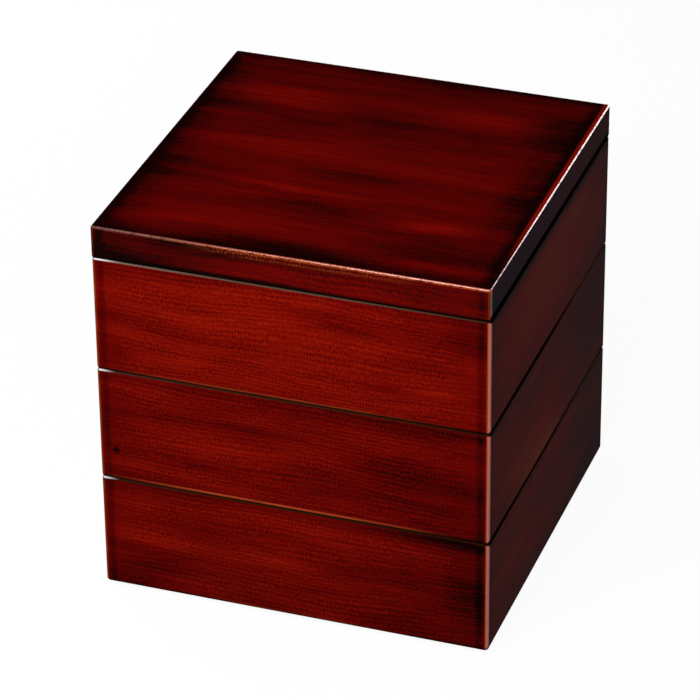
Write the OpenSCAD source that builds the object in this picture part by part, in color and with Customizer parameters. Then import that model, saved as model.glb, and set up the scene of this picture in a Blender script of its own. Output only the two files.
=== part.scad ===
// Square stacking box in red-brown lacquered wood: three tiers that nest in each other, and a lid.
// Millimetres. The origin is the middle of the ground that the bottom tier's foot stands on. +Z is up,
// the front is towards -Y.

/* [Outline] */
// Outside width of the tiers and the lid, left to right
box_w = 195; // [120:1:300]
// Outside depth of the tiers and the lid, front to back
box_d = 195; // [120:1:300]
// Thickness of the wall boards and of the lid's rails
wall_t = 9; // [8:0.5:14]
// Radius of the tiers' upright outside corners
corner_r = 2; // [2:0.1:4]

/* [Tiers] */
// Height of a tier's walls, from their lower edge to the rim
tier_h = 60; // [45:1:100]
// Radius that eases the rim's outer and inner arris
rim_r = 1; // [0.4:0.1:1.6]
// Radius that eases the walls' lower outside arris
base_r = 1.6; // [0.6:0.1:1.8]

/* [Floor boards] */
// Thickness of a tier's floor board
floor_t = 5; // [3:0.5:8]
// Height of the floor board's underside above the walls' lower edge
floor_up = 5; // [3:0.5:9]
// Depth of the groove in the walls that holds the floor board
groove_deep = 4; // [2.5:0.25:4.5]
// Room on each edge for the floor board to swell in its groove
floor_play = 0.4; // [0.2:0.1:0.8]
// Clearance over the floor board in its groove
groove_gap = 0.1; // [0.05:0.05:0.3]

/* [Foot frame] */
// Thickness of the foot strips, measured in from the wall
foot_t = 8; // [5:0.5:14]
// How far the foot reaches below the walls, into the rim of the tier beneath
foot_drop = 3; // [2:0.5:5]
// Clearance between a foot or a lid batten and the rim that it drops into
nest_gap = 0.6; // [0.3:0.1:1.2]
// Radius that eases the foot's and the battens' lower outside arris
foot_r = 1; // [0.4:0.1:1.6]

/* [Corner splines] */
// Thickness of the loose tongue in each mitre
spline_t = 2.4; // [1.6:0.2:3]
// Width of the tongue, half of it in each board
spline_w = 8; // [5:0.5:9]
// Distance of the tongue's middle from the inside corner, along the mitre
spline_in = 5.2; // [4:0.2:6]
// Wood left between the tongue's slot and the rim
spline_below_rim = 8; // [5:0.5:14]
// Wood left between the tongue's slot and the floor groove
spline_above_groove = 2; // [1:0.5:5]
// Glue space round the tongue in its slot
spline_gap = 0.1; // [0.05:0.05:0.2]

/* [Lid] */
// Height of the lid's sides, from their lower edge to the top
lid_h = 17; // [13:0.5:30]
// Thickness of the lid's top panel
panel_t = 6; // [4:0.5:9]
// Radius of the lid's upright outside corners
lid_corner_r = 1.4; // [1.4:0.1:4]
// Radius that eases the panel's top arris
lid_top_r = 1.2; // [0.6:0.1:1.3]
// Radius that eases the lid's lower outside arris
lid_base_r = 1.2; // [0.6:0.1:1.3]
// Thickness of the battens inside the lid's rails
batten_t = 6; // [4:0.5:12]
// How far the battens reach below the lid, into the top tier's rim
batten_drop = 3; // [2:0.5:5]

/* [Hidden] */
$fn = 48;
TIERS = 3;
MITRE = 45;                     // degrees
OVER = 1;                       // how far a cutter runs past the face it opens
half_w = box_w / 2;
half_d = box_d / 2;
lid_z = foot_drop + TIERS * tier_h;
groove_top = floor_up + floor_t + groove_gap;
spline_low = groove_top + spline_above_groove;
spline_high = tier_h - spline_below_rim;
rail_h = lid_h - panel_t;

LACQUER = [0.46, 0.06, 0.02];
LID_LACQUER = [0.36, 0.03, 0.015];
DARK_LACQUER = [0.12, 0.03, 0.025];
VERMILION = [0.72, 0.10, 0.04];
BARE_WOOD = [0.72, 0.52, 0.33];

// Height of the walls' lower edge in tier n, counted from 0 at the bottom.
function tier_z(n) = foot_drop + n * tier_h;

// Sections. In each one x is the depth in from the outer face and y is the height.

// What easing takes off a square corner at the origin, with the wood towards +x and +y.
module eased_off(r) {
    difference() {
        translate([-OVER, -OVER]) square(r + OVER);
        translate([r, r]) circle(r);
    }
}

module wall_section() {
    difference() {
        square([wall_t, tier_h]);
        eased_off(base_r);
        translate([0, tier_h]) mirror([0, 1]) eased_off(rim_r);
        translate([wall_t, tier_h]) mirror([0, 1]) mirror([1, 0]) eased_off(rim_r);
        translate([wall_t - groove_deep, floor_up]) square([groove_deep + OVER, floor_t + groove_gap]);
    }
}

module rail_section() {
    difference() {
        square([wall_t, rail_h]);
        eased_off(lid_base_r);
    }
}

// A strip glued inside a wall or rail: flush with it above, stepped in below to drop into a rim.
module strip_section(thickness, above, drop) {
    difference() {
        translate([0, -drop]) square([thickness, above + drop]);
        translate([-OVER, -drop - OVER]) square([nest_gap + OVER, drop + OVER]);
        translate([nest_gap, -drop]) eased_off(foot_r);
    }
}

// Boards.

// Plan of a board along X with its outer face on y = -reach, mitred at both ends.
module mitred_plan(half_len, reach, deep) {
    polygon([
        [-half_len, -reach],
        [half_len, -reach],
        [half_len - deep, -reach + deep],
        [-half_len + deep, -reach + deep]
    ]);
}

// A mitred board along X. Its section is drawn by children(), and low and high bound its height.
// Where r is not 0, the board's outer corners are rounded, each as far as the mitre.
module mitred_board(half_len, reach, deep, low, high, r) {
    intersection() {
        translate([-(half_len - r), -reach, 0])
            rotate([90, 0, 90])
                linear_extrude(2 * (half_len - r)) children();
        translate([0, 0, low]) linear_extrude(high - low) mitred_plan(half_len, reach, deep);
    }
    if (r > 0)
        for (side = [0, 1])
            mirror([side, 0, 0])
                translate([half_len - r, -reach + r, 0])
                    rotate([0, 0, -90])
                        rotate_extrude(angle = MITRE)
                            intersection() {
                                translate([r, 0]) mirror([1, 0]) children();
                                translate([0, low]) square([r, high - low]);
                            }
}

// The tongue across a mitre, at the right-hand end of a board along X, or the slot for it.
module corner_tongue(half_len, reach, low, high, gap) {
    translate([half_len - wall_t, -reach + wall_t, low - gap])
        rotate([0, 0, -MITRE])
            translate([spline_in - spline_t / 2 - gap, -spline_w / 2 - gap, 0])
                cube([spline_t + 2 * gap, spline_w + 2 * gap, high - low + 2 * gap]);
}

module wall(half_len, reach) {
    difference() {
        mitred_board(half_len, reach, wall_t, 0, tier_h, corner_r) wall_section();
        for (side = [0, 1])
            mirror([side, 0, 0]) corner_tongue(half_len, reach, spline_low, spline_high, spline_gap);
    }
}

module rail(half_len, reach) {
    mitred_board(half_len, reach, wall_t, 0, rail_h, lid_corner_r) rail_section();
}

module foot_strip(half_len, reach) {
    mitred_board(half_len - wall_t, reach - wall_t, foot_t, -foot_drop, floor_up, 0)
        strip_section(foot_t, floor_up, foot_drop);
}

module batten(half_len, reach) {
    mitred_board(half_len - wall_t, reach - wall_t, batten_t, -batten_drop, rail_h, 0)
        strip_section(batten_t, rail_h, batten_drop);
}

module floor_board() {
    edge = wall_t - groove_deep + floor_play;
    translate([-half_w + edge, -half_d + edge, floor_up])
        cube([box_w - 2 * edge, box_d - 2 * edge, floor_t]);
}

module corner_splines() {
    for (side = [0, 1])
        mirror([side, 0, 0])
            for (end = [0, 1])
                mirror([0, end, 0]) corner_tongue(half_w, half_d, spline_low, spline_high, 0);
}

// The four sides of a frame. The board that children() draws for each side faces -Y before it turns.
module at_front(z) {
    translate([0, 0, z]) children();
}

module at_right(z) {
    translate([0, 0, z]) rotate([0, 0, 90]) children();
}

module at_back(z) {
    translate([0, 0, z]) rotate([0, 0, 180]) children();
}

module at_left(z) {
    translate([0, 0, z]) rotate([0, 0, 270]) children();
}

// Lid panel: its edge eased above, rounded at the corners.
module panel_edge() {
    difference() {
        square([lid_corner_r, panel_t]);
        translate([0, panel_t]) mirror([0, 1]) eased_off(lid_top_r);
    }
}

module panel_slab(long, across) {
    translate([-(long / 2 - lid_corner_r), 0, 0])
        rotate([90, 0, 90])
            linear_extrude(long - 2 * lid_corner_r)
                difference() {
                    translate([-across / 2, 0]) square([across, panel_t]);
                    for (side = [0, 1])
                        mirror([side, 0])
                            translate([-across / 2, panel_t]) mirror([0, 1]) eased_off(lid_top_r);
                }
}

module panel() {
    panel_slab(box_w, box_d);
    rotate([0, 0, 90]) panel_slab(box_d, box_w);
    for (side = [0, 1])
        mirror([side, 0, 0])
            for (end = [0, 1])
                mirror([0, end, 0])
                    translate([half_w - lid_corner_r, half_d - lid_corner_r, 0])
                        rotate_extrude() translate([lid_corner_r, 0]) mirror([1, 0]) panel_edge();
}

// Bottom tier.
module bottom_tier_front_wall() { color(LACQUER) at_front(tier_z(0)) wall(half_w, half_d); }
module bottom_tier_right_wall() { color(LACQUER) at_right(tier_z(0)) wall(half_d, half_w); }
module bottom_tier_back_wall() { color(LACQUER) at_back(tier_z(0)) wall(half_w, half_d); }
module bottom_tier_left_wall() { color(LACQUER) at_left(tier_z(0)) wall(half_d, half_w); }
module bottom_tier_floor_board() { color(VERMILION) at_front(tier_z(0)) floor_board(); }
module bottom_tier_corner_splines() { color(BARE_WOOD) at_front(tier_z(0)) corner_splines(); }
module bottom_tier_front_foot() { color(DARK_LACQUER) at_front(tier_z(0)) foot_strip(half_w, half_d); }
module bottom_tier_right_foot() { color(DARK_LACQUER) at_right(tier_z(0)) foot_strip(half_d, half_w); }
module bottom_tier_back_foot() { color(DARK_LACQUER) at_back(tier_z(0)) foot_strip(half_w, half_d); }
module bottom_tier_left_foot() { color(DARK_LACQUER) at_left(tier_z(0)) foot_strip(half_d, half_w); }

// Middle tier.
module middle_tier_front_wall() { color(LACQUER) at_front(tier_z(1)) wall(half_w, half_d); }
module middle_tier_right_wall() { color(LACQUER) at_right(tier_z(1)) wall(half_d, half_w); }
module middle_tier_back_wall() { color(LACQUER) at_back(tier_z(1)) wall(half_w, half_d); }
module middle_tier_left_wall() { color(LACQUER) at_left(tier_z(1)) wall(half_d, half_w); }
module middle_tier_floor_board() { color(VERMILION) at_front(tier_z(1)) floor_board(); }
module middle_tier_corner_splines() { color(BARE_WOOD) at_front(tier_z(1)) corner_splines(); }
module middle_tier_front_foot() { color(DARK_LACQUER) at_front(tier_z(1)) foot_strip(half_w, half_d); }
module middle_tier_right_foot() { color(DARK_LACQUER) at_right(tier_z(1)) foot_strip(half_d, half_w); }
module middle_tier_back_foot() { color(DARK_LACQUER) at_back(tier_z(1)) foot_strip(half_w, half_d); }
module middle_tier_left_foot() { color(DARK_LACQUER) at_left(tier_z(1)) foot_strip(half_d, half_w); }

// Top tier.
module top_tier_front_wall() { color(LACQUER) at_front(tier_z(2)) wall(half_w, half_d); }
module top_tier_right_wall() { color(LACQUER) at_right(tier_z(2)) wall(half_d, half_w); }
module top_tier_back_wall() { color(LACQUER) at_back(tier_z(2)) wall(half_w, half_d); }
module top_tier_left_wall() { color(LACQUER) at_left(tier_z(2)) wall(half_d, half_w); }
module top_tier_floor_board() { color(VERMILION) at_front(tier_z(2)) floor_board(); }
module top_tier_corner_splines() { color(BARE_WOOD) at_front(tier_z(2)) corner_splines(); }
module top_tier_front_foot() { color(DARK_LACQUER) at_front(tier_z(2)) foot_strip(half_w, half_d); }
module top_tier_right_foot() { color(DARK_LACQUER) at_right(tier_z(2)) foot_strip(half_d, half_w); }
module top_tier_back_foot() { color(DARK_LACQUER) at_back(tier_z(2)) foot_strip(half_w, half_d); }
module top_tier_left_foot() { color(DARK_LACQUER) at_left(tier_z(2)) foot_strip(half_d, half_w); }

// Lid.
module lid_panel() { color(LID_LACQUER) at_front(lid_z + rail_h) panel(); }
module lid_front_rail() { color(LID_LACQUER) at_front(lid_z) rail(half_w, half_d); }
module lid_right_rail() { color(LID_LACQUER) at_right(lid_z) rail(half_d, half_w); }
module lid_back_rail() { color(LID_LACQUER) at_back(lid_z) rail(half_w, half_d); }
module lid_left_rail() { color(LID_LACQUER) at_left(lid_z) rail(half_d, half_w); }
module lid_front_batten() { color(VERMILION) at_front(lid_z) batten(half_w, half_d); }
module lid_right_batten() { color(VERMILION) at_right(lid_z) batten(half_d, half_w); }
module lid_back_batten() { color(VERMILION) at_back(lid_z) batten(half_w, half_d); }
module lid_left_batten() { color(VERMILION) at_left(lid_z) batten(half_d, half_w); }

bottom_tier_front_wall();
bottom_tier_right_wall();
bottom_tier_back_wall();
bottom_tier_left_wall();
bottom_tier_floor_board();
bottom_tier_corner_splines();
bottom_tier_front_foot();
bottom_tier_right_foot();
bottom_tier_back_foot();
bottom_tier_left_foot();
middle_tier_front_wall();
middle_tier_right_wall();
middle_tier_back_wall();
middle_tier_left_wall();
middle_tier_floor_board();
middle_tier_corner_splines();
middle_tier_front_foot();
middle_tier_right_foot();
middle_tier_back_foot();
middle_tier_left_foot();
top_tier_front_wall();
top_tier_right_wall();
top_tier_back_wall();
top_tier_left_wall();
top_tier_floor_board();
top_tier_corner_splines();
top_tier_front_foot();
top_tier_right_foot();
top_tier_back_foot();
top_tier_left_foot();
lid_panel();
lid_front_rail();
lid_right_rail();
lid_back_rail();
lid_left_rail();
lid_front_batten();
lid_right_batten();
lid_back_batten();
lid_left_batten();
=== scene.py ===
import math

import bmesh
import bpy
from bpy.props import FloatProperty, FloatVectorProperty, PointerProperty
from bpy.types import Operator, Panel, PropertyGroup
from mathutils import Matrix, Vector


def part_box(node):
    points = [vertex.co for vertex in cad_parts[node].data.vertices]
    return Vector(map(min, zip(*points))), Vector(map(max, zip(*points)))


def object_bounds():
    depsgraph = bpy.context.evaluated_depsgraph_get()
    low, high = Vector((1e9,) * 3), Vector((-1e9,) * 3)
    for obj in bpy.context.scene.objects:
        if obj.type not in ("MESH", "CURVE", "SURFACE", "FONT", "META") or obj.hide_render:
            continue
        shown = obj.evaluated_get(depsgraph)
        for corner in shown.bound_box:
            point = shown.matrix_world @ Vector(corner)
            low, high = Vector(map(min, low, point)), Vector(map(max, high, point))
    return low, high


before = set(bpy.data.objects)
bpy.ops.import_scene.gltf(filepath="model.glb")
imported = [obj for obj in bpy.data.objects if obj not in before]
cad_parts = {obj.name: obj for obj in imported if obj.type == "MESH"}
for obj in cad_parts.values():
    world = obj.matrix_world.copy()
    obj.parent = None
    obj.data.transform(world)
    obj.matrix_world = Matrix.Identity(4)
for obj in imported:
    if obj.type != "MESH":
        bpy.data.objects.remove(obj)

bl_info = {
    "name": "Stacking Lacquer Box",
    "version": (1, 0, 0),
    "blender": (4, 5, 0),
    "location": "3D View > Sidebar > Lacquer Box",
    "description": "Lacquers the tiers and the lid of a stacking box over visible wood grain, and lights it",
    "category": "Material",
}

# The box of the whole object, read from the imported model
CAD_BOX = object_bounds()

# Places on the object, in metres, all read from the model's parts
SIDES = ("front", "right", "back", "left")
TIERS = ("bottom_tier", "middle_tier", "top_tier")
WALL_LOW, WALL_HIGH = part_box("bottom_tier_front_wall")
RAIL_LOW, RAIL_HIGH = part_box("lid_front_rail")
PANEL_LOW, PANEL_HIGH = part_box("lid_panel")
OUTER = WALL_HIGH.x
INNER = -WALL_HIGH.y
TIER_RISE = WALL_HIGH.z - WALL_LOW.z
TIER_BASE = {tier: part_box(tier + "_front_wall")[0].z for tier in TIERS}
LID_BASE = RAIL_LOW.z
LID_TOP = PANEL_HIGH.z

MM = 0.001
# Radii of the rounded edges, in millimetres: a tier's upright corners and its rim, the lid's upright
# corners and the edge round its top
CORNER = 2.0
RIM = 1.0
LID_CORNER = 1.4
LID_ARRIS = 1.2
# The colour sockets of a Mix node, by number because the node's kinds of data share their names
MIX_FACTOR = 0
MIX_FIRST = 6
MIX_SECOND = 7
MIX_RESULT = 2
# Patches of darker and paler wood, in millimetres: place along the grain from the board's middle, place
# across it, half length, half width and shade. On the lid's top the second is towards the back.
LID_FIGURE = (
    (-52, 57, 34, 13, 0.24),
    (46, 62, 32, 15, 0.18),
    (2, 42, 32, 14, -0.17),
    (46, 38, 26, 12, -0.15),
    (84, 54, 22, 36, -0.24),
    (-76, 40, 28, 10, -0.20),
    (-34, 36, 22, 9, -0.12),
    (-78, -28, 34, 20, -0.18),
    (62, -72, 44, 15, -0.28),
    (-36, 4, 58, 13, 0.18),
    (42, 2, 36, 12, 0.10),
    (4, -16, 32, 8, -0.20),
    (-24, -33, 62, 4, 0.26),
    (56, -51, 22, 6, 0.24),
    (86, -16, 16, 44, -0.20),
    (-2, -49, 42, 10, -0.18),
    (-46, -71, 56, 12, 0.17),
    (66, -85, 28, 4, 0.20),
    (-2, -91, 52, 7, -0.32),
)
# On a wall the second is the height above its lower edge. The darkest patches at the top right of the
# middle and bottom tiers are painted shade under the tier above.
FRONT_FIGURE = {
    "top_tier": (
        (-30, 51, 40, 6, 0.12),
        (-40, 34, 34, 6, 0.15),
        (42, 34, 18, 5, 0.10),
        (-48, 42, 38, 3, -0.13),
        (28, 42, 24, 5, -0.13),
        (-50, 25, 34, 3, -0.14),
        (-52, 14, 14, 7, 0.09),
        (46, 16, 24, 6, -0.16),
        (70, 18, 18, 1.4, 0.24),
        (8, 54, 18, 4, 0.10),
        (88, 49, 16, 9, -0.14),
        (-88, 10, 13, 9, -0.12),
    ),
    "middle_tier": (
        (-48, 29, 42, 9, 0.16),
        (-66, 49, 24, 6, 0.06),
        (-24, 40, 32, 4, -0.13),
        (60, 31, 36, 10, -0.14),
        (-46, 16, 22, 4, -0.12),
        (-64, 9, 32, 3, 0.13),
        (-28, 5, 24, 3, 0.12),
        (-89, 16, 2.2, 3, -0.50),
        (12, 35, 24, 6, 0.07),
        (70, 15, 20, 5, -0.13),
        # Painted shade under the tier above
        (70, 57, 44, 5, -0.16),
    ),
    "bottom_tier": (
        (-70, 29, 30, 4, 0.16),
        (-8, 30, 24, 10, 0.14),
        (12, 50, 20, 4, 0.14),
        (-76, 12, 28, 13, -0.16),
        (90, 30, 15, 38, -0.14),
        (58, 6, 30, 7, -0.12),
        (-52, 40, 30, 4, -0.09),
        (40, 50, 16, 3, 0.08),
        # Painted shade under the tier above
        (74, 58, 40, 7, -0.34),
    ),
}
SIDE_FIGURE = {
    "top_tier": (
        (2, 42, 70, 17, 0.58),
        (-12, 22, 60, 12, 0.20),
        (64, 34, 40, 18, 0.40),
        (70, 12, 34, 10, 0.04),
        (-88, 30, 14, 34, -0.10),
    ),
    "middle_tier": (
        (-20, 12, 46, 15, 0.38),
        (62, 40, 40, 20, -0.16),
        (-60, 46, 34, 10, -0.08),
    ),
    "bottom_tier": (
        (-40, 26, 40, 10, 0.08),
        (20, 52, 44, 8, 0.10),
        (70, 14, 36, 14, -0.12),
    ),
}
# Amber shining through at the sides, as the patches above but with an amount of amber
SIDE_AMBER = {
    "top_tier": ((-6, 47, 46, 8, 0.24), (44, 48, 26, 8, 0.22), (-40, 30, 44, 10, 0.10), (20, 24, 60, 14, 0.10)),
    "middle_tier": ((-18, 3, 52, 10, 0.60), (-50, 18, 38, 10, 0.14)),
    "bottom_tier": ((-50, 40, 34, 9, 0.07),),
}
# How each tier is finished: shade of its boards, partly painted light as the top tier is paler, and how much
# they darken to the right, partly painted shade, depth of the painted shadow under the piece above it in
# millimetres, how much painted reflection its rim shows, and the painted highlight lines along its lower
# edge, as each line's middle and half length in millimetres and its strength
TIER_FINISH = {
    "top_tier": {
        "tone": 0.160, "falling": 0.085, "shaded": 6, "rim_reflection": 1.0,
        "line": (-8, 104, 0.46), "side_line": (70, 80, 0.60),
    },
    "middle_tier": {
        "tone": 0.044, "falling": 0.10, "shaded": 2.6, "rim_reflection": 0.12,
        "line": (-8, 100, 1.0), "side_line": (-18, 55, 0.90),
    },
    "bottom_tier": {
        "tone": 0.044, "falling": 0.16, "shaded": 2.2, "rim_reflection": 0.05,
        "line": (0, 60, 0.25), "side_line": (0, 40, 0.10),
    },
}
GRAIN_ALONG = {"front": "x", "back": "x", "right": "y", "left": "y"}


class LacquerColours(PropertyGroup):
    """Colours of the lacquer and of what shows through it"""

    # Darkest stop of the lacquer's ramp, towards which faces darken along their edges
    deep: FloatVectorProperty(
        name="Deep lacquer",
        description="Where the lacquer lies thickest, as along the edge of a face",
        subtype="COLOR", size=3, min=0, max=1, default=(0.006, 0.0002, 0.0001),
    )
    body: FloatVectorProperty(
        name="Red-brown lacquer",
        description="Lacquer of ordinary thickness over plain wood",
        subtype="COLOR", size=3, min=0, max=1, default=(0.105, 0.0007, 0.0002),
    )
    # Pale wood shining through the lacquer; also used as the painted glow along the lid's right edge
    glow: FloatVectorProperty(
        name="Glowing streak",
        description="Pale wood shining through the lacquer",
        subtype="COLOR", size=3, min=0, max=1, default=(0.245, 0.0050, 0.0007),
    )
    # Amber as wood showing through thin lacquer, and also as painted highlight down rounded corners and edges
    amber: FloatVectorProperty(
        name="Amber edge",
        description="Thin lacquer where a rounded edge begins",
        subtype="COLOR", size=3, min=0, max=1, default=(0.31, 0.060, 0.011),
    )
    # Painted highlight along the lower edge of a wall, above a line of painted shade
    lower_edge_highlight: FloatVectorProperty(
        name="Ember line",
        description="Thin lacquer along the lower edge of a wall",
        subtype="COLOR", size=3, min=0, max=1, default=(0.42, 0.060, 0.015),
    )
    # Painted highlight: pale pink standing in for light caught on the near corners and the lid's top edge
    painted_highlight: FloatVectorProperty(
        name="Rubbed edge",
        description="Edges rubbed pale by handling",
        subtype="COLOR", size=3, min=0, max=1, default=(0.66, 0.14, 0.10),
    )
    # Painted reflection: grey where a tier's rounded rim catches the bright surroundings
    rim: FloatVectorProperty(
        name="Rim",
        description="Worn, greyish lacquer along a tier's rim",
        subtype="COLOR", size=3, min=0, max=1, default=(0.060, 0.040, 0.024),
    )
    # Painted glare: near white at the left end of the rim's front, where it catches the light
    rim_glare: FloatVectorProperty(
        name="Bare rim",
        description="Rim worn pale at the corner where it is held",
        subtype="COLOR", size=3, min=0, max=1, default=(0.66, 0.63, 0.62),
    )
    # Painted reflection: grey-brown down the lid's near corner, where it mirrors the floor
    corner_reflection: FloatVectorProperty(
        name="Dulled corner",
        description="Grey-brown line down the lid's near corner",
        subtype="COLOR", size=3, min=0, max=1, default=(0.30, 0.17, 0.13),
    )
    # Painted reflection, dim: olive along the rim of a tier that another tier stands on
    rim_olive_reflection: FloatVectorProperty(
        name="Olive rim",
        description="Rim of a tier that another tier stands on",
        subtype="COLOR", size=3, min=0, max=1, default=(0.020, 0.0045, 0.0004),
    )
    # Painted shade: the rim along the sides, in the seam under the piece above
    rim_shade: FloatVectorProperty(
        name="Shaded rim",
        description="Rim at the sides, still under its lacquer",
        subtype="COLOR", size=3, min=0, max=1, default=(0.010, 0.005, 0.006),
    )
    # Painted reflection: a dull purple veil over the dark sides of the tiers and the lid
    plum_reflection: FloatVectorProperty(
        name="Plum lacquer",
        description="Dark, slightly purple lacquer on the lid's sides",
        subtype="COLOR", size=3, min=0, max=1, default=(0.030, 0.010, 0.024),
    )
    # Painted shade: near black in the seams under each piece and down some rounded corners
    painted_shade: FloatVectorProperty(
        name="Pooled lacquer",
        description="Nearly black line where lacquer gathers along a lower edge",
        subtype="COLOR", size=3, min=0, max=1, default=(0.0035, 0.0015, 0.001),
    )
    vermilion: FloatVectorProperty(
        name="Vermilion",
        description="Opaque lacquer inside the tiers and under the lid",
        subtype="COLOR", size=3, min=0, max=1, default=(0.46, 0.030, 0.008),
    )
    wood: FloatVectorProperty(
        name="Bare wood",
        description="The loose tongues in the mitres",
        subtype="COLOR", size=3, min=0, max=1, default=(0.42, 0.27, 0.14),
    )


class GrainSizes(PropertyGroup):
    """Sizes of the wood's figure"""

    band: FloatProperty(
        name="Band", description="Width of the broad dark and light bands",
        subtype="DISTANCE", unit="LENGTH", min=0.002, default=0.013,
    )
    streak: FloatProperty(
        name="Streak", description="Width of the fine streaks",
        subtype="DISTANCE", unit="LENGTH", min=0.0003, default=0.0016,
    )
    pore_row: FloatProperty(
        name="Pore row", description="Distance between the rows of pores",
        subtype="DISTANCE", unit="LENGTH", min=0.001, default=0.0024,
    )
    pore_pitch: FloatProperty(
        name="Pore pitch", description="Distance from pore to pore in a row",
        subtype="DISTANCE", unit="LENGTH", min=0.0005, default=0.00128,
    )
    wave: FloatProperty(
        name="Wave", description="How far the grain wanders across the board",
        subtype="DISTANCE", unit="LENGTH", min=0, default=0.012,
    )


class StageSetup(PropertyGroup):
    """Camera, lamps and floor"""

    azimuth: FloatProperty(
        name="Azimuth", description="Camera's turn round the box, from straight ahead to its right",
        subtype="ANGLE", unit="ROTATION", default=math.radians(19.413),
    )
    elevation: FloatProperty(
        name="Elevation", description="Camera's angle above the ground",
        subtype="ANGLE", unit="ROTATION", default=math.radians(30.360),
    )
    roll: FloatProperty(
        name="Roll", description="Camera's tilt about its own axis",
        subtype="ANGLE", unit="ROTATION", default=math.radians(-0.589),
    )
    distance: FloatProperty(
        name="Distance", description="From the camera to the plane through the middle of the foot",
        subtype="DISTANCE", unit="LENGTH", min=0.5, default=2.0058,
    )
    sideways: FloatProperty(
        name="Sideways", description="Camera's shift to its right",
        subtype="DISTANCE", unit="LENGTH", default=-0.00505,
    )
    upward: FloatProperty(
        name="Upward", description="Camera's shift towards its top",
        subtype="DISTANCE", unit="LENGTH", default=0.08109,
    )
    lens: FloatProperty(
        name="Lens", description="Focal length",
        unit="CAMERA", min=10, default=205.86,
    )
    floor_radius: FloatProperty(
        name="Floor radius", description="Radius of the pale floor",
        subtype="DISTANCE", unit="LENGTH", min=1, default=12,
    )
    key_level: FloatProperty(
        name="Key level", description="Light of the key lamp on a surface that faces it",
        min=0, default=1.10,
    )
    arris_level: FloatProperty(
        name="Front arris level", description="Strength of the tall lamp that the lid's front edge reflects",
        min=0, default=0.8,
    )
    rim_level: FloatProperty(
        name="Side arris level", description="Strength of the lamp that the lid's right edge reflects",
        min=0, default=1.05,
    )
    back_level: FloatProperty(
        name="Back level", description="Light of the lamp behind and to the left on a surface that faces it",
        min=0, default=0.45,
    )
    sky_level: FloatProperty(
        name="Surrounding level", description="Light from all round the box",
        min=0, default=0.10,
    )


class Number:
    """A number that varies over a surface, so that sums with it are written as Python."""

    def __init__(self, recipe, socket):
        self.recipe = recipe
        self.socket = socket

    def __add__(self, other):
        return self.recipe.math("ADD", self, other)

    __radd__ = __add__

    def __mul__(self, other):
        return self.recipe.math("MULTIPLY", self, other)

    __rmul__ = __mul__

    def __sub__(self, other):
        return self.recipe.math("SUBTRACT", self, other)

    def __rsub__(self, other):
        return self.recipe.math("SUBTRACT", other, self)

    def __truediv__(self, other):
        return self.recipe.math("DIVIDE", self, other)

    def __abs__(self):
        return self.recipe.math("ABSOLUTE", self)

    def at_least(self, other):
        return self.recipe.math("MAXIMUM", self, other)

    def at_most(self, other):
        return self.recipe.math("MINIMUM", self, other)


class Recipe:
    """The nodes of one material or world."""

    def __init__(self, owner):
        owner.use_nodes = True
        self.tree = owner.node_tree
        self.tree.nodes.clear()

    def node(self, kind, settings=None, sockets=None):
        """Makes one node: its settings first, then the values or links of its sockets."""
        made = self.tree.nodes.new(kind)
        for name, value in (settings or {}).items():
            if name == "stops":
                self.set_stops(made.color_ramp, value)
            else:
                setattr(made, name, value)
        for name, value in (sockets or {}).items():
            self.feed(made.inputs[name], value)
        return made

    def set_stops(self, ramp, stops):
        """Gives a ramp its stops, pairs of a position and a colour."""
        while len(ramp.elements) < len(stops):
            ramp.elements.new(1)
        for element, (position, colour) in zip(ramp.elements, stops):
            element.position = position
            element.color = (*colour, 1)

    def feed(self, socket, value):
        """Links a socket, or sets its value."""
        if isinstance(value, Number):
            value = value.socket
        if isinstance(value, bpy.types.NodeSocket):
            self.tree.links.new(value, socket)
        elif hasattr(value, "__len__") and len(value) == 3 and len(socket.default_value) == 4:
            socket.default_value = (*value, 1)
        else:
            socket.default_value = value

    def number(self, kind, output, settings=None, sockets=None):
        """One output of a new node, as a Number."""
        return Number(self, self.node(kind, settings, sockets).outputs[output])

    def math(self, operation, *values):
        return self.number("ShaderNodeMath", 0, {"operation": operation}, dict(enumerate(values)))

    def vector(self, x, y, z):
        return self.node("ShaderNodeCombineXYZ", None, {0: x, 1: y, 2: z}).outputs[0]

    def step(self, value, low, high):
        """Rises smoothly from 0 at low to 1 at high. It falls where low is the greater."""
        return self.number(
            "ShaderNodeMapRange", "Result", {"interpolation_type": "SMOOTHSTEP"},
            {"Value": value, "From Min": low, "From Max": high},
        )

    def mix(self, factor, first, second, blend="MIX"):
        """Colours, from the first at factor 0 to the second at factor 1."""
        made = self.node(
            "ShaderNodeMix", {"data_type": "RGBA", "blend_type": blend},
            {MIX_FACTOR: factor, MIX_FIRST: first, MIX_SECOND: second},
        )
        return made.outputs[MIX_RESULT]

    def noise(self, x, y, z, detail=2.0, roughness=0.5):
        """Smooth noise about 0.5."""
        return self.number(
            "ShaderNodeTexNoise", "Fac", {"noise_dimensions": "3D"},
            {"Vector": self.vector(x, y, z), "Scale": 1, "Detail": detail, "Roughness": roughness},
        )

    def place(self):
        """The three Object coordinates, in millimetres."""
        position = self.node("ShaderNodeTexCoord").outputs["Object"]
        scaled = self.node("ShaderNodeVectorMath", {"operation": "SCALE"}, {0: position, "Scale": 1 / MM})
        split = self.node("ShaderNodeSeparateXYZ", None, {0: scaled.outputs[0]})
        return [Number(self, output) for output in split.outputs]


def new_material(name):
    old = bpy.data.materials.get(name)
    return old or bpy.data.materials.new(name)


def finish_material(recipe, sockets, bump=None):
    """Ends a recipe in a Principled shader, with a relief of bump, which is a height in metres."""
    if bump is not None:
        relief = recipe.node("ShaderNodeBump", None, {"Strength": 1, "Distance": 1, "Height": bump})
        sockets["Normal"] = relief.outputs[0]
    shader = recipe.node("ShaderNodeBsdfPrincipled", None, sockets)
    recipe.node("ShaderNodeOutputMaterial", None, {"Surface": shader.outputs[0]})


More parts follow.
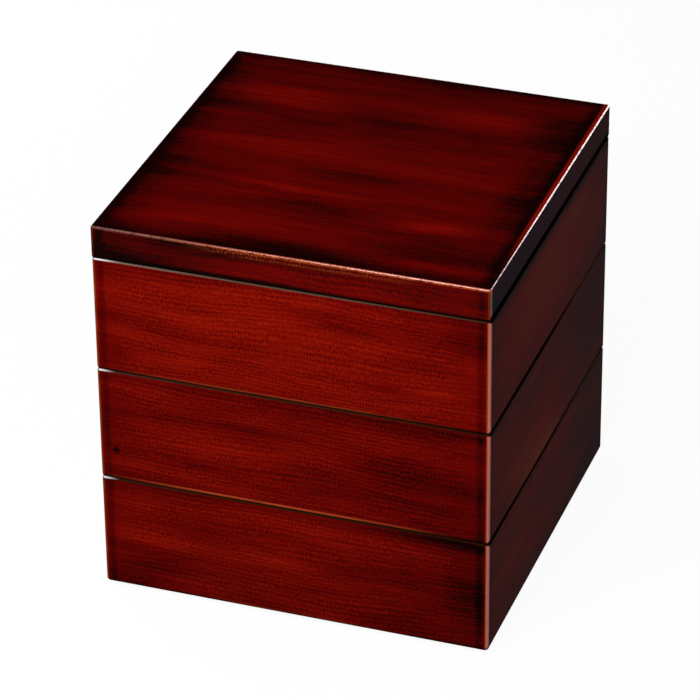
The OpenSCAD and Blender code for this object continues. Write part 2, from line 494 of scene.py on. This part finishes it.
def grain(recipe, u, v, w, seed, sizes):
    """The wood's figure as shades: bands, streaks and pores, over u along the grain, v across, w deep."""
    wander = recipe.noise(u / 95 + seed, v / 36, w / 36, detail=1)
    v = v + (wander - 0.5) * (sizes.wave / MM)
    band = sizes.band / MM
    streak = sizes.streak / MM
    row = sizes.pore_row / MM
    bands = recipe.noise(u / (band * 8) + seed, v / band, w / band, detail=1.5)
    streaks = recipe.noise(u / (streak * 22), v / streak + seed, w / streak, detail=2, roughness=0.55)
    drift = recipe.noise(u / 9, v / 2.5 + seed, w / 2.5, detail=1)
    cell = recipe.vector(u / (sizes.pore_pitch / MM) + drift * 1.8, v / row + drift * 0.5, 0)
    pores = recipe.number(
        "ShaderNodeTexVoronoi", "Distance", {"voronoi_dimensions": "2D", "feature": "F1"},
        {"Vector": cell, "Scale": 1, "Randomness": 0.36},
    )
    patches = recipe.noise(u / 20 + seed, v / 7, w / 7, detail=1)
    flecks = recipe.noise(u / 2.4, v / 0.7, w / 0.7 + seed, detail=1)
    return {
        "across": v,
        "bands": recipe.step(bands, 0.27, 0.73),
        "streaks": recipe.step(streaks, 0.25, 0.75),
        "pores": recipe.step(pores, 0.46, 0.14) * (0.5 + 0.5 * recipe.step(patches, 0.36, 0.62)),
        "between": recipe.step(pores, 0.45, 0.75),
        "flecks": flecks - 0.5,
    }


def marks(recipe, u, v, places):
    """Long soft patches of darker and paler wood. Each is (along, across, half length, half width, shade),
    in millimetres."""
    total = 0
    at = recipe.vector(u, v, 0)
    for along, across, half_length, half_width, shade in places:
        away = recipe.node("ShaderNodeVectorMath", {"operation": "SUBTRACT"}, {0: at, 1: (along, across, 0)})
        spread = recipe.node(
            "ShaderNodeVectorMath", {"operation": "DIVIDE"},
            {0: away.outputs[0], 1: (half_length, half_width, 1)},
        )
        distance = recipe.number(
            "ShaderNodeVectorMath", "Value", {"operation": "LENGTH"}, {0: spread.outputs[0]},
        )
        total = recipe.step(distance, 1.25, 0) * shade + total
    return total


def lacquer_ramp(recipe, shade, colours):
    """The colour of lacquer over wood: 0 is the deepest, 1 the palest wood."""
    stops = [
        (0.0, tuple(colours.deep)),
        (0.5, tuple(colours.body)),
        (1.0, tuple(colours.glow)),
    ]
    return recipe.node("ShaderNodeValToRGB", {"stops": stops}, {0: shade}).outputs[0]


def round_corner(recipe, reach_x, reach_y, radius):
    """How far round an upright corner a point lies, 0 on the front or back and 1 on a side, and a mask
    that is 1 on the rounding only."""
    centre = OUTER / MM - radius
    turn = recipe.math("ARCTAN2", (reach_x - centre).at_least(MM), (reach_y - centre).at_least(MM))
    on_corner = recipe.step(reach_x.at_most(reach_y), centre, centre + radius * 0.15)
    return turn / (math.pi / 2), on_corner


def edge_shade(recipe, from_end):
    """Shade along a board's end: a dark upright band, a few millimetres in from the corner."""
    band = recipe.step(from_end, 1.4, 3.2) * recipe.step(from_end, 6.8, 4.0)
    return recipe.step(from_end, 2.0, 24.0) * 0.10 - band * 0.24


def wall_lacquer(name, along, base, seed, warmth, finish, places, ambers, colours, sizes):
    """Lacquer of a tier's walls. base is the height of their lower edge, warmth lightens the board,
    finish is the tier's entry in TIER_FINISH, places are its paler and darker patches, and ambers
    those where amber shines through."""
    material = new_material(name)
    recipe = Recipe(material)
    x, y, z = recipe.place()
    height = z - base / MM
    outer = OUTER / MM
    inner = INNER / MM
    rise = TIER_RISE / MM
    if along == "x":
        u, v, w = x, height + y, y
    else:
        u, v, w = y, height + x, x
    figure = grain(recipe, u, v, w, seed, sizes)
    to_rim = recipe.step(height, rise - 1.5, rise - 7) * 0.12
    to_base = recipe.step(height, 1.5, 8) * 0.06
    pores = figure["pores"] * (0.25 + 0.75 * recipe.step(outer - abs(u), 3, 20))
    shade = (
        figure["bands"] * 0.24 + figure["streaks"] * 0.18 - pores * 0.42
        + figure["flecks"] * 0.22 + figure["between"] * 0.08
        + edge_shade(recipe, outer - abs(u)) + to_rim + to_base
        + marks(recipe, u, height + (figure["across"] - v) * 0.5, places) * 1.2
        - recipe.step(u, 0, outer) * finish["falling"] + (finish["tone"] + warmth + 0.14)
    )
    colour = lacquer_ramp(recipe, shade, colours)
    if along == "y":
        # Painted reflection: a plum veil over the side boards, stronger towards the far end
        colour = recipe.mix(recipe.step(u, 20, outer) * 0.30, colour, tuple(colours.plum_reflection))
        amber = marks(recipe, u, height + (figure["across"] - v) * 0.6, ambers)
    else:
        amber = figure["between"] * recipe.step(shade, 0.65, 1.1) * 0.10
    colour = recipe.mix(amber, colour, tuple(colours.amber))

    # The upright corners: painted highlight, amber down each rounded corner and pale pink on the front right
    # one
    reach_x = abs(x)
    reach_y = abs(y)
    reach = reach_x.at_least(reach_y)
    side = recipe.step(reach_x - reach_y, -0.5, 0.5)
    turn, on_corner = round_corner(recipe, reach_x, reach_y, CORNER)
    front_right = recipe.step(x - y, outer, outer + 10)
    corner_noise = recipe.step(recipe.noise(x / 30, y / 30, z / 9 + seed, detail=2), 0.34, 0.66)
    corner = on_corner * recipe.step(turn, 0.16, 0.34) * recipe.step(turn, 0.90, 0.78)
    corner = corner * (0.35 + 0.45 * corner_noise).at_least(front_right)
    pale = front_right * recipe.step(turn, 0.30, 0.44)
    colour = recipe.mix(corner, colour, recipe.mix(pale, tuple(colours.amber), tuple(colours.painted_highlight)))

    beside = recipe.step(y, -outer + 3.6, -outer + 2.6) * side * (1 - on_corner) * recipe.step(x, 0, outer)
    colour = recipe.mix(beside * 0.30, colour, tuple(colours.amber))

    # The rim: painted reflection, grey or olive along the front, with a painted glare at the front's left end,
    # and painted shade along the sides, where the top of each side also gets the painted shadow of the piece
    # above
    rim = recipe.step(height, rise - RIM * 0.75 - side * 0.6, rise - RIM * 0.4)
    rim = rim * recipe.step(reach, inner, inner + 0.4)
    grey = finish["rim_reflection"]
    # bare holds the painted glare at the left end of the rim's front
    bare = recipe.step(x, -outer + 10 + 8 * grey, -outer + 1) * recipe.step(y, 0, -outer)
    bare = bare * bare + recipe.step(x, -20, -outer) * recipe.step(y, 0, -outer) * (0.10 * grey)
    glinting = grey * recipe.step(x, outer + 30, -10)
    rim_colour = recipe.mix(glinting, tuple(colours.rim_olive_reflection), tuple(colours.rim))
    rim_colour = recipe.mix(bare.at_most(1), rim_colour, tuple(colours.rim_glare))
    far = recipe.step(y, -20, 60)
    side_colour = recipe.mix(far, tuple(colours.rim_shade), tuple(2 * c for c in colours.rim))
    colour = recipe.mix(rim, colour, recipe.mix(side, rim_colour, side_colour))
    gap = recipe.step(height, rise - finish["shaded"], rise - 1) * side * (1 - on_corner)
    gap = gap * (1 - far * (0.9 - 0.9 * grey))
    colour = recipe.mix(gap * 0.8, colour, tuple(colours.painted_shade))

    # The lower edge: a painted highlight line over a line of painted shade
    painted_shade = recipe.step(height, 1.9 + side * 0.9, 1.3) * recipe.step(reach, outer - 1.8, outer - 1.2)
    middle, half, strength = finish["line" if along == "x" else "side_line"]
    lined = recipe.step(abs(u - middle), half, half * 0.15) * strength
    shade_depth = 0.84 - side * (0.6 * lined).at_least(far * 0.5)
    colour = recipe.mix(painted_shade * shade_depth, colour, tuple(colours.painted_shade))
    # Noise that varies the painted highlight line
    thin = recipe.noise(x / 26 + seed, y / 26, z / 26, detail=1)
    line = recipe.step(height, 0.7, 1.1) * recipe.step(height, 2.0 + 0.5 * strength, 1.5 + 0.4 * strength)
    line = line * lined * (0.65 + 0.35 * recipe.step(thin, 0.4, 0.6))
    colour = recipe.mix(line * (1 - on_corner), colour, tuple(colours.lower_edge_highlight))

    inside = recipe.step(reach, inner + 0.35, inner + 0.15) * recipe.step(height, rise - 0.5, rise - 0.9)
    colour = recipe.mix(inside, colour, tuple(colours.vermilion))
    gloss = (0.018 + side * 0.014) * (1 - on_corner) + corner * pale * recipe.step(turn, 0.84, 0.64) * 0.8
    dull = rim * (1 - grey + side * grey)
    coat = (gloss * (1 - painted_shade) * (1 - dull)).at_least(inside * 0.10)
    finish_material(recipe, {
        "Base Color": colour,
        "Roughness": 0.4,
        "Specular IOR Level": 0.0,
        "Coat Weight": coat.at_most(1),
        "Coat Roughness": 0.10,
        "Coat IOR": 1.5,
    }, figure["pores"] * (-0.00003))
    return material


def lid_lacquer(name, along, seed, tone, colours, sizes):
    """Lacquer of the lid's panel and rails."""
    material = new_material(name)
    recipe = Recipe(material)
    x, y, z = recipe.place()
    outer = OUTER / MM
    inner = INNER / MM
    top = LID_TOP / MM
    low = LID_BASE / MM
    under = PANEL_LOW.z / MM
    reach_x = abs(x)
    reach_y = abs(y)
    reach = reach_x.at_least(reach_y)
    if along == "y":
        u, v, w = y, z + x, x
    else:
        u, v, w = x, z + y, y
    figure = grain(recipe, u, v, w, seed, sizes)
    on_top = recipe.step(z, top - 1.2, top - 0.2)
    from_edge = outer - reach
    margin = recipe.step(from_edge, 1.0, 26.0) * 0.12 + recipe.step(from_edge, 1.0, 9.0) * 0.22
    ends = recipe.step(outer + x, 26.0, 2.0) * 0.14 + recipe.step(outer - x, 10.0, 2.0) * 0.10
    on_side = (
        0.17 - recipe.step(z, low + 5, low + 1.5) * 0.06 - recipe.step(u, 0, -90) * 0.29
        + recipe.step(u, -30, 40) * 0.09 + edge_shade(recipe, outer - abs(u)) * 0.6
        + figure["bands"] * 0.20 - recipe.step(outer - u, 12, 4) * 0.10
        - figure["pores"] * recipe.step(u, -70, 20) * recipe.step(outer - u, 5, 26) * 0.34
        + figure["flecks"] * 0.14 + figure["between"] * 0.05
    )
    placed = marks(recipe, u, figure["across"] - top, LID_FIGURE) if along == "x" else 0
    shade = (
        figure["bands"] * 0.14 + figure["streaks"] * 0.18 - figure["pores"] * on_top * 0.24
        + figure["flecks"] * 0.14 + (margin - ends + placed) * on_top + (1 - on_top) * on_side
        + tone
    )
    colour = lacquer_ramp(recipe, shade, colours)
    side = recipe.step(reach_x - reach_y, -0.5, 0.5)
    # Painted reflection: a plum veil over the lid's sides, stronger towards the near end
    plum_reflection = 0.85 - 0.45 * recipe.step(y, -40, outer)
    colour = recipe.mix((1 - on_top) * side * plum_reflection, colour, tuple(colours.plum_reflection))
    warm = recipe.step(y, -50, 0) * recipe.step(z, top - 12, top - 5) * side * (1 - on_top)
    colour = recipe.mix(warm * 0.06, colour, tuple(colours.amber))
    # Painted highlight: a red glow in the palest wood's colour along the right edge of the lid's top
    beside = recipe.step(outer - x, 2.4, 1.7) * recipe.step(z, top - 0.2, top - 0.02)
    colour = recipe.mix(beside * recipe.step(y, -80, -20) * 0.7, colour, tuple(colours.glow))

    # The upright corners: painted highlight, amber down each corner with pale pink and a grey-brown painted
    # reflection on the front right one, and a line of painted shade down the others
    turn, on_corner = round_corner(recipe, reach_x, reach_y, LID_CORNER)
    front_right = recipe.step(x - y, outer, outer + 10)
    ending = 0.36 + 0.56 * front_right
    corner = on_corner * recipe.step(turn, 0.10, 0.30) * recipe.step(turn - ending, 0.0, -0.10)
    corner = corner * recipe.step(z, top, top - 1.5)
    pale = front_right * recipe.step(turn, 0.44, 0.58)
    below = recipe.step(z, top - 1.5, top - 5)
    pale_colour = recipe.mix(below, tuple(colours.painted_highlight), tuple(colours.corner_reflection))
    edge_colour = recipe.mix(pale, tuple(colours.amber), pale_colour)
    colour = recipe.mix(corner * (0.35 + 0.5 * pale), colour, edge_colour)
    outline = on_corner * recipe.step(turn, 0.26, 0.38) * (1 - front_right) * recipe.step(turn, 0.95, 0.85)
    colour = recipe.mix(outline * 0.9, colour, tuple(colours.painted_shade))

    # The edge round the top: painted highlight, amber low on the front and pale pink above, brighter towards
    # the right and mauve towards the left. Just below it, amber in the pores of the wood.
    front = recipe.step(y, -outer + 2, -outer + 1.2)
    right = recipe.step(x, outer - 2, outer - 1.2)
    nicks = recipe.step(recipe.noise(x / 1.6, y / 1.6, z / 1.6, detail=1), 0.38, 0.48)
    glinting = recipe.step(x, -outer + 4, 10)
    shiny = recipe.step(x, -20, outer)
    dots = figure["pores"] * recipe.step(z, top - 4.6, top - 2.9) * recipe.step(x, -62, -20) * (1 - on_top)
    dots = dots * recipe.step(x, 70, 40)
    colour = recipe.mix(dots * front * 0.75, colour, tuple(colours.amber))
    low_arc = recipe.step(z, top - LID_ARRIS - 0.25, top - LID_ARRIS + 0.05)
    low_arc = low_arc * recipe.step(z, top - 0.42, top - 0.6)
    high_arc = recipe.step(z, top - 0.75, top - 0.55) * recipe.step(z, top - 0.05, top - 0.15)
    at_edge = recipe.step(reach, outer - 0.9, outer - 0.7)
    amber_line = low_arc * front * (0.08 + 0.80 * glinting * nicks)
    colour = recipe.mix(amber_line * at_edge, colour, tuple(colours.amber))
    orange = tuple((first + second) / 2 for first, second in zip(colours.amber, colours.painted_highlight))
    edge_colour = recipe.mix(shiny, orange, tuple(colours.painted_highlight))
    colour = recipe.mix(high_arc * front * at_edge * (0.12 + 0.50 * glinting), colour, edge_colour)
    mauve = recipe.step(x, -30, -80) * (low_arc * 0.4).at_least(high_arc) * (0.03 + 0.08 * nicks)
    pinkish = tuple((first + second) / 2 for first, second in zip(colours.rim_glare, colours.painted_highlight))
    colour = recipe.mix(mauve * front * at_edge, colour, pinkish)
    # Painted shade along the lid's lower edge, in the seam above the top tier
    painted_shade = recipe.step(z - side * 1.4 - recipe.step(abs(x + 38), 58, 24), low + 2.0, low + 1.3)
    painted_shade = painted_shade * recipe.step(reach, outer - 1.6, outer - 1.0)
    colour = recipe.mix(painted_shade * 0.94, colour, tuple(colours.painted_shade))

    inside = recipe.step(reach, inner + 0.35, inner + 0.15) * recipe.step(z, under + 0.3, under + 0.1)
    colour = recipe.mix(inside, colour, tuple(colours.vermilion))
    gloss = high_arc * at_edge * (front * (0.12 + 0.12 * glinting + 0.56 * shiny)).at_least(right)
    shine = (corner * pale * 0.3).at_least(gloss) * (0.45 + 0.55 * nicks)
    coat = ((0.006 + 0.022 * (1 - on_top) * (1 - on_corner) + shine) * (1 - painted_shade)).at_least(inside * 0.10)
    finish_material(recipe, {
        "Base Color": colour,
        "Roughness": 0.4,
        "Specular IOR Level": 0.0,
        "Coat Weight": coat.at_most(1),
        "Coat Roughness": 0.08,
        "Coat IOR": 1.5,
    }, figure["pores"] * (-0.00002))
    return material


def give(node, material):
    """Assigns a material to every slot of a CAD node's object."""
    slots = bpy.data.objects[node].material_slots
    if not slots:
        raise RuntimeError(node + " has no material slot")
    for slot in slots:
        slot.material = material


class BOX_OT_lacquer_walls(Operator):
    """Lacquers the wall boards of the three tiers"""

    bl_idname = "lacquer_box.walls"
    bl_label = "Lacquer the Walls"

    def execute(self, context):
        colours = context.scene.lacquer_colours
        sizes = context.scene.grain_sizes
        for count, tier in enumerate(TIERS):
            made = {
                along: wall_lacquer(
                    f"{tier}_lacquer_{along}", along, TIER_BASE[tier], 3.7 * count + offset,
                    warmth, TIER_FINISH[tier], places[tier], SIDE_AMBER[tier], colours, sizes,
                )
                for along, offset, warmth, places in (
                    ("x", 1.3, 0, FRONT_FIGURE),
                    ("y", 8.9, 0.08, SIDE_FIGURE),
                )
            }
            for side in SIDES:
                give(f"{tier}_{side}_wall", made[GRAIN_ALONG[side]])
        return {"FINISHED"}


class BOX_OT_lacquer_lid(Operator):
    """Lacquers the lid's panel and rails"""

    bl_idname = "lacquer_box.lid"
    bl_label = "Lacquer the Lid"

    def execute(self, context):
        colours = context.scene.lacquer_colours
        sizes = context.scene.grain_sizes
        made = {
            along: lid_lacquer(f"lid_lacquer_{along}", along, 17.0 + offset, tone, colours, sizes)
            for along, offset, tone in (("x", 0.0, -0.086), ("y", 5.0, -0.06))
        }
        give("lid_panel", made["x"])
        for side in SIDES:
            give(f"lid_{side}_rail", made[GRAIN_ALONG[side]])
        return {"FINISHED"}


class BOX_OT_lacquer_inside(Operator):
    """Lacquers the floor boards, the foot strips and the lid's battens"""

    bl_idname = "lacquer_box.inside"
    bl_label = "Lacquer the Inside"

    def execute(self, context):
        colours = context.scene.lacquer_colours
        material = new_material("vermilion_lacquer")
        recipe = Recipe(material)
        x, y, z = recipe.place()
        cloud = recipe.noise(x / 30, y / 30, z / 30, detail=3)
        thin = tuple(0.86 * c for c in colours.vermilion)
        colour = recipe.mix(recipe.step(cloud, 0.3, 0.7), thin, tuple(colours.vermilion))
        finish_material(recipe, {
            "Base Color": colour, "Roughness": 0.35, "Specular IOR Level": 0.05,
            "Coat Weight": 0.10, "Coat Roughness": 0.1,
        })
        dark = new_material("foot_lacquer")
        recipe = Recipe(dark)
        x, y, z = recipe.place()
        cloud = recipe.noise(x / 18, y / 18, z / 5, detail=3)
        colour = recipe.mix(recipe.step(cloud, 0.3, 0.7), tuple(colours.deep), tuple(colours.body))
        finish_material(recipe, {
            "Base Color": colour, "Roughness": 0.4, "Specular IOR Level": 0.1,
            "Coat Weight": 0.1, "Coat Roughness": 0.15,
        })
        for tier in TIERS:
            give(tier + "_floor_board", material)
            for side in SIDES:
                give(f"{tier}_{side}_foot", dark)
        for side in SIDES:
            give(f"lid_{side}_batten", material)
        return {"FINISHED"}


class BOX_OT_spline_wood(Operator):
    """Gives the loose tongues in the mitres their bare wood"""

    bl_idname = "lacquer_box.spline_wood"
    bl_label = "Bare Wood on the Tongues"

    def execute(self, context):
        colours = context.scene.lacquer_colours
        material = new_material("bare_wood")
        recipe = Recipe(material)
        x, y, z = recipe.place()
        fibres = recipe.noise(x / 0.5, y / 0.5, z / 14, detail=3)
        colour = recipe.mix(
            recipe.step(fibres, 0.3, 0.7), tuple(0.7 * c for c in colours.wood), tuple(colours.wood),
        )
        finish_material(recipe, {"Base Color": colour, "Roughness": 0.7})
        for tier in TIERS:
            give(tier + "_corner_splines", material)
        return {"FINISHED"}


def directed(azimuth, elevation):
    """The direction of a point seen from the box, in degrees, with azimuth 0 straight ahead."""
    a = math.radians(azimuth)
    e = math.radians(elevation)
    return Vector((math.sin(a) * math.cos(e), -math.cos(a) * math.cos(e), math.sin(e)))


def add_lamp(name, azimuth, elevation, distance, width, height, level, tint=None):
    """A soft rectangular lamp aimed at the box. level is what a white surface facing it would show. A
    lamp with a tint is there for gloss only: it is seen in the lacquer and lights nothing else."""
    centre = (CAD_BOX[0] + CAD_BOX[1]) / 2
    away = directed(azimuth, elevation)
    data = bpy.data.lights.new(name, "AREA")
    data.shape = "RECTANGLE"
    data.size = width
    data.size_y = height
    data.energy = level * (math.pi * distance) ** 2
    lamp = bpy.data.objects.new(name, data)
    bpy.context.scene.collection.objects.link(lamp)
    lamp.location = centre + away * distance
    lamp.rotation_mode = "QUATERNION"
    lamp.rotation_quaternion = away.to_track_quat("Z", "Y")
    if tint:
        data.color = tint
        lamp.visible_diffuse = False
    return lamp


def add_floor(radius):
    """A pale round floor that keeps the shadow of the box and shows white elsewhere."""
    mesh = bpy.data.meshes.new("floor")
    shape = bmesh.new()
    bmesh.ops.create_circle(shape, cap_ends=True, segments=96, radius=radius)
    shape.to_mesh(mesh)
    shape.free()
    floor = bpy.data.objects.new("floor", mesh)
    bpy.context.scene.collection.objects.link(floor)
    material = new_material("floor")
    recipe = Recipe(material)
    path = recipe.node("ShaderNodeLightPath")
    seen = Number(recipe, path.outputs["Is Camera Ray"])
    seen = seen.at_least(Number(recipe, path.outputs["Is Glossy Ray"]))
    seen = seen.at_least(Number(recipe, path.outputs["Is Transmission Ray"]))
    dull = recipe.node("ShaderNodeBsdfDiffuse", None, {"Color": (0.35, 0.35, 0.35)})
    pale = recipe.node("ShaderNodeBsdfDiffuse", None, {"Color": (0.95, 0.95, 0.95)})
    white = recipe.node("ShaderNodeEmission", None, {"Color": (1, 1, 1), "Strength": 1})
    shown = recipe.node("ShaderNodeMixShader", None, {0: 0.95, 1: pale.outputs[0], 2: white.outputs[0]})
    mixed = recipe.node("ShaderNodeMixShader", None, {0: seen, 1: dull.outputs[0], 2: shown.outputs[0]})
    recipe.node("ShaderNodeOutputMaterial", None, {"Surface": mixed.outputs[0]})
    mesh.materials.append(material)


def light_surroundings(level):
    """Surroundings that show white, and light the box softly from all round."""
    world = bpy.data.worlds.new("surroundings")
    bpy.context.scene.world = world
    recipe = Recipe(world)
    path = recipe.node("ShaderNodeLightPath")
    seen = Number(recipe, path.outputs["Is Camera Ray"])
    seen = seen.at_least(Number(recipe, path.outputs["Is Glossy Ray"]))
    seen = seen.at_least(Number(recipe, path.outputs["Is Transmission Ray"]))
    soft = recipe.node("ShaderNodeBackground", None, {"Color": (1, 1, 1), "Strength": level})
    white = recipe.node("ShaderNodeBackground", None, {"Color": (1, 1, 1), "Strength": 1})
    mixed = recipe.node("ShaderNodeMixShader", None, {0: seen, 1: soft.outputs[0], 2: white.outputs[0]})
    recipe.node("ShaderNodeOutputWorld", None, {"Surface": mixed.outputs[0]})


def add_camera(stage):
    """The camera of the photograph's view."""
    back = directed(math.degrees(stage.azimuth), math.degrees(stage.elevation))
    level = Vector((math.cos(stage.azimuth), math.sin(stage.azimuth), 0))
    upright = back.cross(level)
    right = math.cos(stage.roll) * level + math.sin(stage.roll) * upright
    up = math.cos(stage.roll) * upright - math.sin(stage.roll) * level
    place = back * stage.distance + right * stage.sideways + up * stage.upward
    place.z += WALL_LOW.z
    data = bpy.data.cameras.new("camera")
    data.lens = stage.lens
    data.sensor_width = 36
    data.clip_end = 60
    camera = bpy.data.objects.new("camera", data)
    bpy.context.scene.collection.objects.link(camera)
    camera.matrix_world = Matrix.Translation(place) @ Matrix((right, up, back)).transposed().to_4x4()
    bpy.context.scene.camera = camera


class BOX_OT_stage(Operator):
    """Sets the floor, the surroundings, the lamps and the camera"""

    bl_idname = "lacquer_box.stage"
    bl_label = "Set the Stage"

    def execute(self, context):
        stage = context.scene.stage_setup
        add_floor(stage.floor_radius)
        light_surroundings(stage.sky_level)
        add_lamp("key_lamp", -6, 46, 0.95, 0.50, 0.40, stage.key_level)
        add_lamp("front_arris_lamp", -24, 42, 0.90, 0.22, 0.90, stage.arris_level, (1, 0.66, 0.50))
        add_lamp("side_arris_lamp", 153, 16, 1.0, 0.40, 0.50, stage.rim_level, (1, 0.66, 0.67))
        add_lamp("back_lamp", 232, 20, 1.0, 0.5, 0.4, stage.back_level)
        add_camera(stage)
        context.scene.view_settings.view_transform = "Standard"
        return {"FINISHED"}


class BOX_PT_steps(Panel):
    """Lists the steps that finish the box"""

    bl_idname = "BOX_PT_steps"
    bl_label = "Lacquer Box"
    bl_space_type = "VIEW_3D"
    bl_region_type = "UI"
    bl_category = "Lacquer Box"

    def draw(self, context):
        for step in STEPS:
            self.layout.operator(step.bl_idname)


STEPS = (
    BOX_OT_lacquer_walls,
    BOX_OT_lacquer_lid,
    BOX_OT_lacquer_inside,
    BOX_OT_spline_wood,
    BOX_OT_stage,
)
CLASSES = (LacquerColours, GrainSizes, StageSetup, *STEPS, BOX_PT_steps)


def register():
    for cls in CLASSES:
        bpy.utils.register_class(cls)
    bpy.types.Scene.lacquer_colours = PointerProperty(type=LacquerColours)
    bpy.types.Scene.grain_sizes = PointerProperty(type=GrainSizes)
    bpy.types.Scene.stage_setup = PointerProperty(type=StageSetup)


def unregister():
    del bpy.types.Scene.stage_setup
    del bpy.types.Scene.grain_sizes
    del bpy.types.Scene.lacquer_colours
    for cls in reversed(CLASSES):
        bpy.utils.unregister_class(cls)


def main():
    register()
    bpy.ops.lacquer_box.walls()
    bpy.ops.lacquer_box.lid()
    bpy.ops.lacquer_box.inside()
    bpy.ops.lacquer_box.spline_wood()
    bpy.ops.lacquer_box.stage()


if __name__ == "__main__":
    main()
